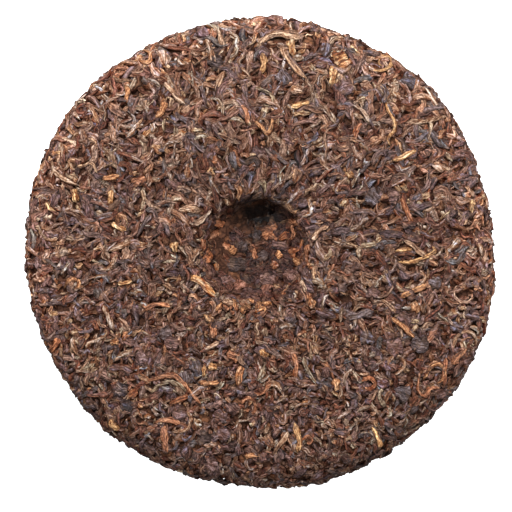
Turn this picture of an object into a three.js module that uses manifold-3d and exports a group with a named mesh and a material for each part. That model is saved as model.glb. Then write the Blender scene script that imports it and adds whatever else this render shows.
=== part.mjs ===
import * as THREE from "three";
import { mergeVertices } from "three/addons/utils/BufferGeometryUtils.js";
import Module from "manifold-3d";

// A cake of ripe tea: twisted leaves steamed in a cloth bag and pressed into one disc.
// It lies on its domed front, with the back up, where the knot of the bag left a dimple.
// Millimetres, +Z up. The origin is the middle of the flat spot that the cake rests on.

// The cake's section
const cakeRadius = 98.4; // to the middle of the rim
const rimDepth = 9.5; // how far the rounded rim reaches in from there
const faceHeight = 24.4; // the back's height round the dimple, were there no dimple
const faceFall = 5.4; // how much lower the back is at the rim
const faceFallPower = 3;
const footRadius = 37; // the flat spot in the middle of the domed front
const frontRise = 4.8; // how far the front has risen where the rim begins
const dimpleDepth = 14.2;
const dimpleRadius = 20.5; // where the dimple is half as deep
const dimpleSteepness = 6.5;
const dimpleEdge = 31; // the wall has ended by here
const dimpleLean = 0.68; // how much steeper the wall is on its +Y side, where the knot leaned
const dimpleLeanReach = 9;
const dimpleShift = new THREE.Vector2(-1.9, -0.2); // the knot was tied off the middle
const dimpleShiftReach = [30, 72]; // the shift is whole inside the first radius, and gone by the second

// The outline isn't a true circle: waves round it, each with its height and its turn in degrees
const outlineWaves = [
  { count: 2, height: 0.53, turn: 106 },
  { count: 3, height: 0.33, turn: 167 },
  { count: 4, height: 0.39, turn: 152 },
  { count: 6, height: 0.24, turn: 119 },
  { count: 7, height: 0.25, turn: 127 },
];

// The core's mesh and its unevenness
const coreSegments = 64;
const dimpleRings = 8;
const faceRings = 10;
const rimRings = 7;
const frontRings = 6;
const unevenTerms = 9;
const unevenHeight = 0.16; // of each term
const unevenWavelength = [9, 19];

// The leaves that stand out of the core
const backLeaves = 66;
const frontLeaves = 36;
const leafLength = [13, 25];
const leafWidth = [3.2, 4.8];
const leafThickness = [2.5, 3.5];
const leafBend = 1.1; // the most that an ordinary leaf turns along its length, in radians
const curledShare = 0.14; // of the leaves, bent into a hook
const curledBend = [1.9, 2.9];
const leafSink = 0.08; // how far a leaf's middle line lies under the surface, as a share of its thickness
const leafSides = 5;
const leafRings = 4;
const goldenAngle = Math.PI * (3 - Math.sqrt(5));
const placeJitter = 3.2;

const seed = 7;
const weldStep = 1e-4;

// A repeatable row of numbers from 0 to 1
function randomSource(start) {
  let state = start >>> 0;
  return () => {
    state = (state + 0x6d2b79f5) >>> 0;
    let mixed = Math.imul(state ^ (state >>> 15), 1 | state);
    mixed = (mixed + Math.imul(mixed ^ (mixed >>> 7), 61 | mixed)) ^ mixed;
    return ((mixed ^ (mixed >>> 14)) >>> 0) / 4294967296;
  };
}

const random = randomSource(seed);
const between = ([low, high]) => low + (high - low) * random();

// The back's height at a radius: a low crown, less the dimple
function backHeight(r) {
  const crown = faceHeight - faceFall * (r / cakeRadius) ** faceFallPower;
  return crown - dimpleDepth / (1 + (r / dimpleRadius) ** dimpleSteepness);
}

// The front's height at a radius: flat in the middle, then rising to the rim
function frontHeight(r) {
  const out = Math.max(0, r - footRadius) / (cakeRadius - rimDepth - footRadius);
  return frontRise * out ** 2;
}

// The section from the dimple's floor, over the rim, to the middle of the front
function sectionPoints(inDimple, onFace, onRim, onFront) {
  const faceEnd = cakeRadius - rimDepth;
  const high = backHeight(faceEnd);
  const low = frontHeight(faceEnd);
  const points = [];
  for (let i = 0; i < inDimple + onFace; i++) {
    const past = i - inDimple;
    const r = past < 0 ? (dimpleEdge * i) / inDimple : dimpleEdge + ((faceEnd - dimpleEdge) * past) / onFace;
    points.push(new THREE.Vector2(r, backHeight(r)));
  }
  for (let i = 0; i <= onRim; i++) {
    const turn = Math.PI / 2 - (Math.PI * i) / onRim;
    const z = (high + low) / 2 + ((high - low) / 2) * Math.sin(turn);
    points.push(new THREE.Vector2(faceEnd + rimDepth * Math.cos(turn), z));
  }
  for (let i = onFront - 1; i > 0; i--) {
    const r = footRadius + ((faceEnd - footRadius) * i) / onFront;
    points.push(new THREE.Vector2(r, frontHeight(r)));
  }
  points.push(new THREE.Vector2(footRadius, 0), new THREE.Vector2(0, 0));
  return points;
}

// The share of a wave's height that stands at this angle, summed over the waves
function outlineAt(angle) {
  return outlineWaves.reduce(
    (sum, wave) => sum + wave.height * Math.cos(wave.count * angle + THREE.MathUtils.degToRad(wave.turn)),
    0,
  );
}

// The radius that a point of the dimple's wall is drawn to, where the wall is steeper
function leaned(r, angle) {
  const lean = (dimpleLean * (1 + Math.sin(angle))) / 2;
  const near = (r / dimpleRadius) * Math.exp(-(((r - dimpleRadius) / dimpleLeanReach) ** 2));
  return r + (dimpleRadius - r) * lean * near;
}

// A point of the section at an angle round the cake, with the outline's waves and the dimple's lean and shift
function placeOnCake(r, z, angle, isBack) {
  const wide = (isBack ? leaned(r, angle) : r) * (1 + outlineAt(angle) / cakeRadius);
  const [whole, gone] = dimpleShiftReach;
  const shift = isBack ? 1 - THREE.MathUtils.smoothstep(r, whole, gone) : 0;
  return new THREE.Vector3(
    wide * Math.cos(angle) + dimpleShift.x * shift,
    wide * Math.sin(angle) + dimpleShift.y * shift,
    z,
  );
}

// The unevenness of pressed leaves: waves in all directions
const unevenWaves = Array.from({ length: unevenTerms }, () => ({
  along: new THREE.Vector3(random() - 0.5, random() - 0.5, random() - 0.5)
    .normalize()
    .multiplyScalar((2 * Math.PI) / between(unevenWavelength)),
  start: 2 * Math.PI * random(),
}));

function unevenness(point) {
  const heights = unevenWaves.map((wave) => unevenHeight * Math.sin(wave.along.dot(point) + wave.start));
  return heights.reduce((sum, height) => sum + height, 0);
}

// The section walked by its length, so that a leaf can be laid on it
function measuredSection() {
  const points = sectionPoints(100, 180, 60, 120);
  const marks = [{ s: 0, r: points[0].x, z: points[0].y }];
  for (let i = 1; i < points.length; i++)
    marks.push({
      s: marks[i - 1].s + points[i].distanceTo(points[i - 1]),
      r: points[i].x,
      z: points[i].y,
    });
  return marks;
}

const section = measuredSection();
const sectionLength = section.at(-1).s;
const rimMark = section.reduce((widest, mark) => (mark.r > widest.r ? mark : widest));

function sectionAt(s) {
  const here = THREE.MathUtils.clamp(s, 0, sectionLength);
  const next = Math.max(1, section.findIndex((mark) => mark.s >= here));
  const [a, b] = [section[next - 1], section[next]];
  const share = (here - a.s) / (b.s - a.s);
  return { r: a.r + (b.r - a.r) * share, z: a.z + (b.z - a.z) * share };
}

// The cake's surface, unrolled from the middle of the back or of the front onto a plane
function onSurface(flat, isBack) {
  const away = flat.length();
  const s = isBack ? away : sectionLength - away;
  const { r, z } = sectionAt(s);
  return placeOnCake(r, z, Math.atan2(flat.y, flat.x), s < rimMark.s);
}

function surfaceNormal(flat, isBack) {
  const step = 0.4;
  const x = new THREE.Vector2(step, 0);
  const y = new THREE.Vector2(0, step);
  const alongX = onSurface(flat.clone().add(x), isBack).sub(onSurface(flat.clone().sub(x), isBack));
  const alongY = onSurface(flat.clone().add(y), isBack).sub(onSurface(flat.clone().sub(y), isBack));
  const normal = alongX.cross(alongY).normalize();
  return isBack ? normal : normal.negate();
}

function solidFrom(wasm, geometry) {
  geometry.deleteAttribute("normal");
  geometry.deleteAttribute("uv");
  const merged = mergeVertices(geometry, weldStep);
  return new wasm.Manifold(
    new wasm.Mesh({
      numProp: 3,
      vertProperties: merged.attributes.position.array,
      triVerts: new Uint32Array(merged.index.array),
    }),
  );
}

// The pressed mass without its loose ends: a turned disc, then waved, shifted and made uneven
function coreGeometry() {
  const points = sectionPoints(dimpleRings, faceRings, rimRings, frontRings);
  const rimSide = cakeRadius - 0.5 * rimDepth * (1 - Math.cos(Math.PI / rimRings));
  const middle = points.findIndex((point) => point.x >= rimSide);
  const turned = new THREE.LatheGeometry([...points].reverse(), coreSegments).rotateX(Math.PI / 2);
  const position = turned.attributes.position;
  const rows = points.length;
  for (let i = 0; i < position.count; i++) {
    const row = rows - 1 - (i % rows);
    const { x: r, y: z } = points[row];
    const angle = Math.atan2(position.getY(i), position.getX(i));
    const isBack = row <= middle;
    const place = placeOnCake(r, z, r > 0 ? angle : 0, isBack);
    const before = points[Math.max(0, row - 1)];
    const after = points[Math.min(rows - 1, row + 1)];
    const along = after.clone().sub(before).normalize();
    const out = new THREE.Vector3(-along.y * Math.cos(angle), -along.y * Math.sin(angle), along.x);
    if (r === 0) out.set(0, 0, isBack ? 1 : -1);
    const free = isBack ? 1 : THREE.MathUtils.smoothstep(r, footRadius, footRadius + rimDepth);
    place.addScaledVector(out, free * unevenness(place));
    position.setXYZ(i, place.x, place.y, Math.max(0, place.z));
  }
  return turned;
}

// One leaf: a flattened spindle, bent along a curve that lies in the cake's surface
function leafGeometry({ middle, isBack, heading, length, width, thickness, bend }) {
  const spindle = new THREE.SphereGeometry(1, leafSides, leafRings);
  const position = spindle.attributes.position;
  const rings = [];
  for (let i = 0; i <= leafRings; i++) {
    const along = -Math.cos((Math.PI * i) / leafRings);
    const turn = heading + (bend * along) / 2;
    const back = new THREE.Vector2(Math.cos(heading), Math.sin(heading));
    const aside = new THREE.Vector2(-Math.sin(heading), Math.cos(heading));
    const radius = Math.abs(bend) > 1e-3 ? length / bend : length * 1e3;
    const flat = middle
      .clone()
      .addScaledVector(back, radius * Math.sin((bend * along) / 2))
      .addScaledVector(aside, radius * (1 - Math.cos((bend * along) / 2)));
    const normal = surfaceNormal(flat, isBack);
    const ahead = flat.clone().add(new THREE.Vector2(Math.cos(turn), Math.sin(turn)).multiplyScalar(0.5));
    const place = onSurface(flat, isBack);
    const tangent = onSurface(ahead, isBack).sub(place).normalize();
    place.addScaledVector(normal, unevenness(place) - leafSink * thickness);
    rings.push({ place, normal, across: tangent.clone().cross(normal).normalize() });
  }
  const vertex = new THREE.Vector3();
  for (let i = 0; i < position.count; i++) {
    vertex.fromBufferAttribute(position, i);
    const fromEnd = Math.acos(THREE.MathUtils.clamp(-vertex.y, -1, 1)) / Math.PI;
    const ring = rings[Math.round(fromEnd * leafRings)];
    const place = ring.place.clone();
    place.addScaledVector(ring.across, (vertex.x * width) / 2);
    place.addScaledVector(ring.normal, (vertex.z * thickness) / 2);
    position.setXYZ(i, place.x, place.y, place.z);
  }
  return spindle;
}

// Leaves spread evenly over one side, along a sunflower's spiral, largest first
function leavesOn(isBack, count, inner) {
  const outer = isBack ? rimMark.s : sectionLength - rimMark.s;
  return Array.from({ length: count }, (_, i) => {
    const share = (i + 0.5) / count;
    const away = Math.sqrt(inner ** 2 + (outer ** 2 - inner ** 2) * share);
    const angle = i * goldenAngle;
    const size = random();
    const curled = random() < curledShare;
    const side = random() < 0.5 ? -1 : 1;
    return {
      middle: new THREE.Vector2(away * Math.cos(angle), away * Math.sin(angle)).add(
        new THREE.Vector2(random() - 0.5, random() - 0.5).multiplyScalar(placeJitter),
      ),
      isBack,
      heading: 2 * Math.PI * random(),
      length: THREE.MathUtils.lerp(...leafLength, size),
      width: THREE.MathUtils.lerp(...leafWidth, random()) * (curled ? 0.75 : 1),
      thickness: THREE.MathUtils.lerp(...leafThickness, random()),
      bend: side * (curled ? between(curledBend) : leafBend * random()),
    };
  }).sort((a, b) => b.length - a.length);
}

// Everything under the table top, to press flat what the cake stands on
function groundGeometry() {
  const reach = 3 * cakeRadius;
  return new THREE.BoxGeometry(reach, reach, faceHeight).translate(0, 0, -faceHeight / 2);
}

async function cakeGeometry() {
  const wasm = await Module();
  wasm.setup();
  let cake = solidFrom(wasm, coreGeometry());
  const leaves = [
    ...leavesOn(true, backLeaves, 0),
    ...leavesOn(false, frontLeaves, footRadius + leafLength[0]),
  ];
  for (const leaf of leaves) cake = cake.add(solidFrom(wasm, leafGeometry(leaf)));
  cake = cake.subtract(solidFrom(wasm, groundGeometry()));
  // The largest piece alone: this fills hollows sealed between leaves, and drops loose scraps
  const whole = cake.decompose().reduce((most, piece) => (piece.volume() > most.volume() ? piece : most));
  const mesh = whole.getMesh();
  return new THREE.BufferGeometry()
    .setAttribute("position", new THREE.BufferAttribute(mesh.vertProperties, 3))
    .setIndex(new THREE.BufferAttribute(mesh.triVerts, 1));
}

const pressedTea = new THREE.MeshStandardMaterial({
  color: new THREE.Color(0.2, 0.13, 0.1),
  roughness: 0.75,
  metalness: 0,
});

const teaCake = new THREE.Mesh(await cakeGeometry(), pressedTea);
teaCake.name = "tea_cake";

const group = new THREE.Group();
group.add(teaCake);

export default group;
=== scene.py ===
import math

import bmesh
import bpy
import numpy as np
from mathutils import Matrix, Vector, noise


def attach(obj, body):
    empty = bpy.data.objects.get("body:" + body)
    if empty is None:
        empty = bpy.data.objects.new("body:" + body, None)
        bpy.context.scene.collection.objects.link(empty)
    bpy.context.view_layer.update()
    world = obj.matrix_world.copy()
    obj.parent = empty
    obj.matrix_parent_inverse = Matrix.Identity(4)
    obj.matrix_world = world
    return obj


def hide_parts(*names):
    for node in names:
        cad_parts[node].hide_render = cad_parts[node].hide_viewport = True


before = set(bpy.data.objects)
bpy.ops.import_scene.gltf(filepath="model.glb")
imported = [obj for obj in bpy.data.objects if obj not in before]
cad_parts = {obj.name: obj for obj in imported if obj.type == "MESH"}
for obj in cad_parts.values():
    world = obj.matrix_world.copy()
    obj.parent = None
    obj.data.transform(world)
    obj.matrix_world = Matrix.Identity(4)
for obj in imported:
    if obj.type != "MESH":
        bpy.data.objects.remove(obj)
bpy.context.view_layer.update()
print("frame loaded")

mm = 0.001
fullTurn = 2 * math.pi
tiny = 1e-9  # keeps a division by a length of nothing from failing
rng = np.random.default_rng(357)

# the cake's form in millimetres, the same as the solid's
form = {
    "radius": 98.4,
    "rimDepth": 9.5,
    "faceHeight": 24.4,
    "faceFall": 5.4,
    "faceFallPower": 3,
    "footRadius": 37.0,
    "frontRise": 4.8,
    "dimpleDepth": 14.2,
    "dimpleRadius": 20.5,
    "dimpleSteepness": 6.5,
    "dimpleLean": 0.68,  # how much steeper its wall is on the +Y side
    "dimpleLeanReach": 9.0,
    "dimpleShift": (-1.9, -0.2),
    "dimpleShiftReach": (30.0, 72.0),
    "outlineWaves": [(2, 0.53, 106), (3, 0.33, 167), (4, 0.39, 152), (6, 0.24, 119), (7, 0.25, 127)],
}


def smoothStep(value, low, high):
    share = np.clip((value - low) / (high - low), 0, 1)
    return share * share * (3 - 2 * share)


def mixed(ends, share):
    return ends[0] + (ends[1] - ends[0]) * share


def between(limits, count):
    return mixed(limits, rng.random(count))


def unit(vectors):
    return vectors / np.maximum(np.linalg.norm(vectors, axis=-1, keepdims=True), tiny)


def flatLength(vectors):
    return np.hypot(vectors[..., 0], vectors[..., 1])


def flatSpots(away, angle):
    return np.stack([away * np.cos(angle), away * np.sin(angle)], -1)


def lengthAlong(first, second):
    # how far along a line each of its points lies
    return np.concatenate([[0], np.cumsum(np.hypot(np.diff(first), np.diff(second)))])


def backHeight(r):
    crown = form["faceHeight"] - form["faceFall"] * (r / form["radius"]) ** form["faceFallPower"]
    return crown - form["dimpleDepth"] / (1 + (r / form["dimpleRadius"]) ** form["dimpleSteepness"])


def frontHeight(r):
    faceEnd = form["radius"] - form["rimDepth"]
    out = np.maximum(0, r - form["footRadius"]) / (faceEnd - form["footRadius"])
    return form["frontRise"] * out**2


def sectionLine(onFace, onRim, onFront):
    # from the dimple's floor over the rim to the middle of the front
    faceEnd = form["radius"] - form["rimDepth"]
    high, low = backHeight(faceEnd), frontHeight(faceEnd)
    back = np.linspace(0, faceEnd, onFace, endpoint=False)
    turn = np.pi / 2 - np.linspace(0, np.pi, onRim)
    front = np.linspace(faceEnd, 0, onFront)[1:]
    r = np.concatenate([back, faceEnd + form["rimDepth"] * np.cos(turn), front])
    rimZ = (high + low) / 2 + (high - low) / 2 * np.sin(turn)
    return r, np.concatenate([backHeight(back), rimZ, frontHeight(front)])


sectionPoints = (400, 90, 300)  # on the back, round the rim and on the front
sectionR, sectionZ = sectionLine(*sectionPoints)
sectionS = lengthAlong(sectionR, sectionZ)
rimS, rimZ = sectionS[np.argmax(sectionR)], sectionZ[np.argmax(sectionR)]


def leaned(r, angle):
    # the radius that a point of the dimple's wall is drawn to, where the wall is steeper
    lean = form["dimpleLean"] * (1 + np.sin(angle)) / 2
    off = (r - form["dimpleRadius"]) / form["dimpleLeanReach"]
    return r + (form["dimpleRadius"] - r) * lean * r / form["dimpleRadius"] * np.exp(-(off**2))


def outlineWave(angle):
    # how far the outline stands out of its circle
    waves = form["outlineWaves"]
    return sum(high * np.cos(count * angle + math.radians(turn)) for count, high, turn in waves)


def placeOnCake(r, z, angle, isBack):
    wide = np.where(isBack, leaned(r, angle), r) * (1 + outlineWave(angle) / form["radius"])
    shift = np.where(isBack, 1 - smoothStep(r, *form["dimpleShiftReach"]), 0)
    x = wide * np.cos(angle) + form["dimpleShift"][0] * shift
    y = wide * np.sin(angle) + form["dimpleShift"][1] * shift
    return np.stack([x, y, z + 0 * x], -1)


def onSurface(flat, isBack):
    # a side of the cake is unrolled from its middle onto a plane
    away = flatLength(flat)
    s = away if isBack else sectionS[-1] - away
    r = np.interp(s, sectionS, sectionR)
    z = np.interp(s, sectionS, sectionZ)
    return placeOnCake(r, z, np.arctan2(flat[..., 1], flat[..., 0]), s < rimS)


def surfaceNormal(flat, isBack):
    step = 0.3  # from the middle, to either side
    alongX = onSurface(flat + (step, 0), isBack) - onSurface(flat - (step, 0), isBack)
    alongY = onSurface(flat + (0, step), isBack) - onSurface(flat - (0, step), isBack)
    return unit(np.cross(alongX, alongY)) * (1 if isBack else -1)


# the camera, and where it sees a place on the cake: millimetres, pixels and degrees

cameraSettings = {
    "pixelsAcross": 512,
    "cakePixels": 470.5,
    "cakeWide": 197.0,
    "aimPixel": (260.4, 250.2),  # where it sees the cake's middle
    "lens": 100.0,
    "sensor": 36.0,
    "elevation": 86.0,
}


def cameraFrame():
    # its place, its way back, its way up, and its lens in pixels
    settings = cameraSettings
    rise = math.radians(settings["elevation"])
    back = np.array((0, -math.cos(rise), math.sin(rise)))
    up = np.array((0, math.sin(rise), math.cos(rise)))
    pixel = settings["cakeWide"] / settings["cakePixels"]
    away = settings["pixelsAcross"] * pixel * settings["lens"] / settings["sensor"]
    middle = settings["pixelsAcross"] / 2
    column, row = settings["aimPixel"]
    aim = np.array(((middle - column) * pixel, 0, form["faceHeight"] / 2)) + up * (row - middle) * pixel
    return aim + back * away, back, up, away / pixel


def seenPixels(place):
    spot, back, up, lens = cameraFrame()
    off = place - spot
    scale = lens / -(off @ back)
    middle = cameraSettings["pixelsAcross"] / 2
    return np.stack([middle + off[..., 0] * scale, middle - (off @ up) * scale], -1)


def fromScreen(*levels):
    # screen colour, 0 to 255, to the linear colour that shaders take
    share = np.array(levels, float) / 255
    return np.where(share <= 0.04045, share / 12.92, ((share + 0.055) / 1.055) ** 2.4)


# materials


class Wire:
    # a socket in a node tree: arithmetic on it adds Math nodes
    def __init__(self, tree, socket):
        self.tree = tree
        self.socket = socket

    def maths(self, operation, first, second):
        node = self.tree.nodes.new("ShaderNodeMath")
        node.operation = operation
        for entry, value in zip(node.inputs, (first, second)):
            feed(self.tree, entry, value)
        return Wire(self.tree, node.outputs[0])

    def __add__(self, other):
        return self.maths("ADD", self, other)

    def __radd__(self, other):
        return self.maths("ADD", other, self)

    def __sub__(self, other):
        return self.maths("SUBTRACT", self, other)

    def __rsub__(self, other):
        return self.maths("SUBTRACT", other, self)

    def __mul__(self, other):
        return self.maths("MULTIPLY", self, other)

    def __rmul__(self, other):
        return self.maths("MULTIPLY", other, self)

    def sine(self):
        return self.maths("SINE", self, 0.0)

    def size(self):
        return self.maths("ABSOLUTE", self, 0.0)


def feed(tree, entry, value):
    if isinstance(value, Wire):
        tree.links.new(value.socket, entry)
    else:
        entry.default_value = value


class Finish:
    # one material, and the one way in which its nodes are added
    def __init__(self, name):
        self.material = bpy.data.materials.new(name)
        self.material.use_nodes = True
        self.tree = self.material.node_tree
        self.tree.nodes.clear()

    def add(self, kind, settings, values, output=None):
        node = self.tree.nodes.new(kind)
        for name, value in settings.items():
            if name == "stops":
                setStops(node.color_ramp, value)
            else:
                setattr(node, name, value)
        entries = [entry for entry in node.inputs if entry.enabled]
        for key, value in values.items():
            entry = entries[key] if isinstance(key, int) else next(x for x in entries if x.name == key)
            feed(self.tree, entry, value)
        outputs = [x for x in node.outputs if x.enabled and output in (None, x.name)]
        return Wire(self.tree, outputs[0]) if outputs else None

    def mix(self, factor, first, second, blend="MIX"):
        settings = {"data_type": "RGBA", "blend_type": blend}
        return self.add("ShaderNodeMix", settings, {"Factor": factor, "A": first, "B": second})

    def move(self, operation, first, second):
        return self.add("ShaderNodeVectorMath", {"operation": operation}, {0: first, 1: second})

    def spread(self, value, low, high, start, end):
        limits = {"From Min": low, "From Max": high, "To Min": start, "To Max": end}
        return self.add("ShaderNodeMapRange", {}, {"Value": value, **limits})

    def noise(self, place, scale, detail, output=None, **more):
        values = {"Vector": place, "Scale": scale, "Detail": detail, **more}
        return self.add("ShaderNodeTexNoise", {}, values, output)

    def relief(self, height, strength, depth):
        return self.add("ShaderNodeBump", {}, {"Height": height, "Strength": strength, "Distance": depth})

    def surface(self, values):
        shader = self.add("ShaderNodeBsdfPrincipled", {}, values)
        self.add("ShaderNodeOutputMaterial", {}, {"Surface": shader})
        return self.material


def setStops(ramp, stops):
    while len(ramp.elements) < len(stops):
        ramp.elements.new(1)
    for element, (place, colour) in zip(ramp.elements, stops):
        element.position = place
        element.color = (*colour, 1)


def leafFinish(name, look):
    # twisted leaf: its own colour, veined and grooved along its length, with painted shade in the grooves and
    # folds and painted highlight on the ridges, dusty in patches
    finish = Finish(name)
    colour = finish.add("ShaderNodeAttribute", {"attribute_name": "leafColour"}, {}, "Color")
    strand = finish.add("ShaderNodeUVMap", {"uv_map": "strandMap"}, {}, "UV")
    place = finish.add("ShaderNodeTexCoord", {}, {}, "Object")
    stretch = (look["veinAlong"], look["veinAcross"], 1)
    stretched = finish.add("ShaderNodeMapping", {}, {"Vector": strand, "Scale": stretch})
    rough = {"Roughness": look["veinRoughness"], "Distortion": look["veinDistortion"]}
    veins = finish.noise(stretched, 1.0, look["veinDetail"], **rough)
    grain = finish.noise(place, look["grainScale"], 2.0)
    patches = finish.noise(place, look["patchScale"], 2.0)
    wander = finish.noise(place, look["wanderScale"], 1.0)
    stains = finish.noise(place, look["stainScale"], 2.0)

    texture = look["veinShare"] * veins + (1 - look["veinShare"]) * grain
    across = finish.add("ShaderNodeSeparateXYZ", {}, {"Vector": strand}, "Y")
    wave = (across * (math.pi / look["foldSpacing"]) + look["foldWander"] * wander).sine().size()
    folds = finish.spread(wave, *look["foldRange"], 1 - look["foldDepth"], 1.0)
    light = finish.spread(texture, *look["textureRange"], 0.0, 1.0) * folds
    warm = finish.spread(stains, *look["stainRange"], 0.0, 1.0)
    # the veins are the leaf's own; the grooves' darkening is painted shade and the ridges' brightening is
    # painted highlight
    creaseShadeColour = finish.mix(warm, (*look["coolCreaseShade"], 1), (*look["warmCreaseShade"], 1))
    creaseShadeAndHighlight = finish.mix(light, creaseShadeColour, (*look["ridgeHighlight"], 1))
    veined = finish.mix(1.0, colour, creaseShadeAndHighlight, "MULTIPLY")
    hue = finish.mix(warm, (*look["coolTint"], 1), (*look["warmTint"], 1))
    stained = finish.mix(1.0, veined, hue, "MULTIPLY")
    dusty = finish.spread(patches, *look["dustRange"], 0.0, look["dust"])
    return finish.surface(
        {
            "Base Color": finish.mix(dusty, stained, (*look["dustColour"], 1)),
            "Roughness": look["roughness"] + look["roughnessSpread"] * (grain - 0.5),
            "Normal": finish.relief(texture + look["foldBump"] * folds, look["bump"], look["bumpDepth"]),
            "Specular IOR Level": look["shine"],
        }
    )


# painted shadow under the dimple's steep side, darkened into the colours, in millimetres as seen from above
dimpleShadow = {"middle": (-0.6, 15.6), "reach": (13.6, 8.2), "edge": (0.35, 1.3), "depth": 0.9}


def inDimpleShadow(place):
    off = (place[..., :2] - dimpleShadow["middle"]) / dimpleShadow["reach"]
    return 1 - smoothStep(flatLength(off), *dimpleShadow["edge"])


# the pressed mass under the leaves

coreSettings = {
    "sink": (0.85, 1.7),  # under the cake's surface: in the dimple, and elsewhere
    "sinkReach": (17.0, 32.0),
    "rings": (110, 30, 70),  # on the back, round the rim and on the front
    "steps": 330,
    "mergeWithin": 0.000001,  # metres, at the poles
    "lump": 0.5,
    "lumpScale": 0.2,
    "wrinkle": 0.3,
    "wrinkleScale": (0.5, 1.1),
    "seamScale": 330.0,
    "fleckScale": 170.0,
    "seamBend": 0.004,
    "seamRange": (0.0, 0.16),
    "seamLight": 0.35,
    "grainScale": 1100.0,
    "grainShare": 0.7,
    "fleckRange": (0.54, 0.66),
    "fleckMost": 0.75,
    "bump": 0.9,
    "bumpDepth": 0.0006,
    "roughness": 0.6,
    "shine": 0.05,
    "seamColour": tuple(fromScreen(26, 15, 11)),
    # the core's own colours, made darker as painted shade for the gaps between the leaves
    "stops": [(0.2, fromScreen(38, 20, 12)), (0.5, fromScreen(66, 41, 30)), (0.8, fromScreen(92, 59, 43))],
    "fleckColour": tuple(fromScreen(124, 80, 55)),
}


def coreFinish(name, look):
    # the mass between the leaves: fragments pressed flat, with dark seams and rusty flecks, and painted
    # shadow under the dimple's steep side
    finish = Finish(name)
    place = finish.add("ShaderNodeTexCoord", {}, {}, "Object")
    bend = 3 * (look["seamBend"],)
    moved = finish.move("MULTIPLY", finish.noise(place, look["seamScale"], 1.0, "Color"), bend)
    cells = {"Vector": finish.move("ADD", place, moved), "Scale": look["seamScale"]}
    edges = finish.add("ShaderNodeTexVoronoi", {"feature": "DISTANCE_TO_EDGE"}, cells)
    bits = finish.add("ShaderNodeTexVoronoi", {}, cells, "Color")
    single = finish.add("ShaderNodeSeparateColor", {}, {"Color": bits}, "Red")
    grain = finish.noise(place, look["grainScale"], 4.0)
    tone = (1 - look["grainShare"]) * single + look["grainShare"] * grain
    colour = finish.add("ShaderNodeValToRGB", {"stops": look["stops"]}, {"Fac": tone}, "Color")
    flecks = finish.noise(place, look["fleckScale"], 3.0)
    fleck = finish.spread(flecks, *look["fleckRange"], 0.0, look["fleckMost"])
    rusty = finish.mix(fleck, colour, (*look["fleckColour"], 1))
    seam = finish.spread(edges, *look["seamRange"], look["seamLight"], 1.0)
    seamed = finish.mix(seam, (*look["seamColour"], 1), rusty)

    # painted shadow under the dimple's steep side
    away = finish.move("SUBTRACT", place, (*(mm * x for x in dimpleShadow["middle"]), 0))
    scaled = finish.move("MULTIPLY", away, (*(1 / mm / x for x in dimpleShadow["reach"]), 0))
    far = finish.add("ShaderNodeVectorMath", {"operation": "LENGTH"}, {0: scaled}, "Value")
    clear = finish.spread(far, *dimpleShadow["edge"], 1 - dimpleShadow["depth"], 1.0)
    return finish.surface(
        {
            "Base Color": finish.mix(clear, (0, 0, 0, 1), seamed),
            "Roughness": look["roughness"],
            "Normal": finish.relief(0.5 * seam + 0.5 * tone, look["bump"], look["bumpDepth"]),
            "Specular IOR Level": look["shine"],
        }
    )


def coreLine(settings):
    # the cake's section, sunk under its surface
    r, z = sectionLine(*settings["rings"])
    along = np.stack([np.gradient(r), np.gradient(z)], -1)
    out = unit(np.stack([-along[:, 1], along[:, 0]], -1))
    sink = mixed(settings["sink"], smoothStep(lengthAlong(r, z), *settings["sinkReach"]))
    r = np.maximum(r - out[:, 0] * sink, 0)
    r[0] = r[-1] = 0
    return r, z - out[:, 1] * sink


def crumpledMove(vert, settings):
    # how far a point goes in or out: broad lumps, less sharp wrinkles
    spot = vert.co / mm
    lump = noise.noise(spot * settings["lumpScale"]) * settings["lump"]
    wrinkle = sum(abs(noise.noise(spot * scale)) for scale in settings["wrinkleScale"]) * settings["wrinkle"]
    return vert.normal * (lump - wrinkle) * mm


def pressedCore(settings):
    bm = bmesh.new()
    line = [bm.verts.new((x * mm, 0, h * mm)) for x, h in zip(*coreLine(settings))]
    edges = [bm.edges.new(pair) for pair in zip(line, line[1:])]
    turn = {"axis": (0, 0, 1), "cent": (0, 0, 0), "angle": fullTurn, "steps": settings["steps"]}
    bmesh.ops.spin(bm, geom=line + edges, use_merge=True, **turn)
    bmesh.ops.remove_doubles(bm, verts=bm.verts, dist=settings["mergeWithin"])
    for vert in bm.verts:
        x, y, h = vert.co
        away, angle = math.hypot(x, y) / mm, math.atan2(y, x)
        place = placeOnCake(np.array(away), np.array(h / mm), np.array(angle), h > rimZ * mm)
        vert.co = Vector(place) * mm
    bmesh.ops.recalc_face_normals(bm, faces=bm.faces)
    bm.normal_update()
    moves = [crumpledMove(vert, settings) for vert in bm.verts]
    for vert, move in zip(bm.verts, moves):
        vert.co += move
    mesh = bpy.data.meshes.new("pressedCore")
    bm.to_mesh(mesh)
    bm.free()
    return finishedPiece(mesh, coreFinish("pressedDustAndShadow", settings))


def finishedPiece(mesh, material):
    mesh.shade_smooth()
    mesh.materials.append(material)
    piece = bpy.data.objects.new(mesh.name, mesh)
    bpy.context.scene.collection.objects.link(piece)
    return piece


# leaves: sizes in millimetres and colours as on a screen

leafDefaults = {
    "sides": 8,
    "rings": 8,
    "blunt": (2.6, 7.0),  # low is pointed, high is square-ended
    "lean": (-0.35, 0.35),  # wider at one end or the other
    "wave": 0.55,  # how far a leaf winds to and fro, and how often
    "waves": 1.2,
    "roll": 0.3,
    "proud": 0.3,  # how unevenly single leaves stand
    "pitch": 0.45,  # how far one end dips under its neighbours
    "lobes": 3,
    "lobeDepth": 0.12,
    "twist": 2.2,  # how far its lobes turn round it, in radians
    "ribs": (1.3, 2.6),
    "ribHeight": 0.18,
    "crumple": 0.15,
    "flatness": 0.6,  # 1 is an oval section, less is a boxier one
    "upper": 0.0,  # how much likelier towards +Y
    "inDimple": 0.5,  # how likely in the dimple
}

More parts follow.
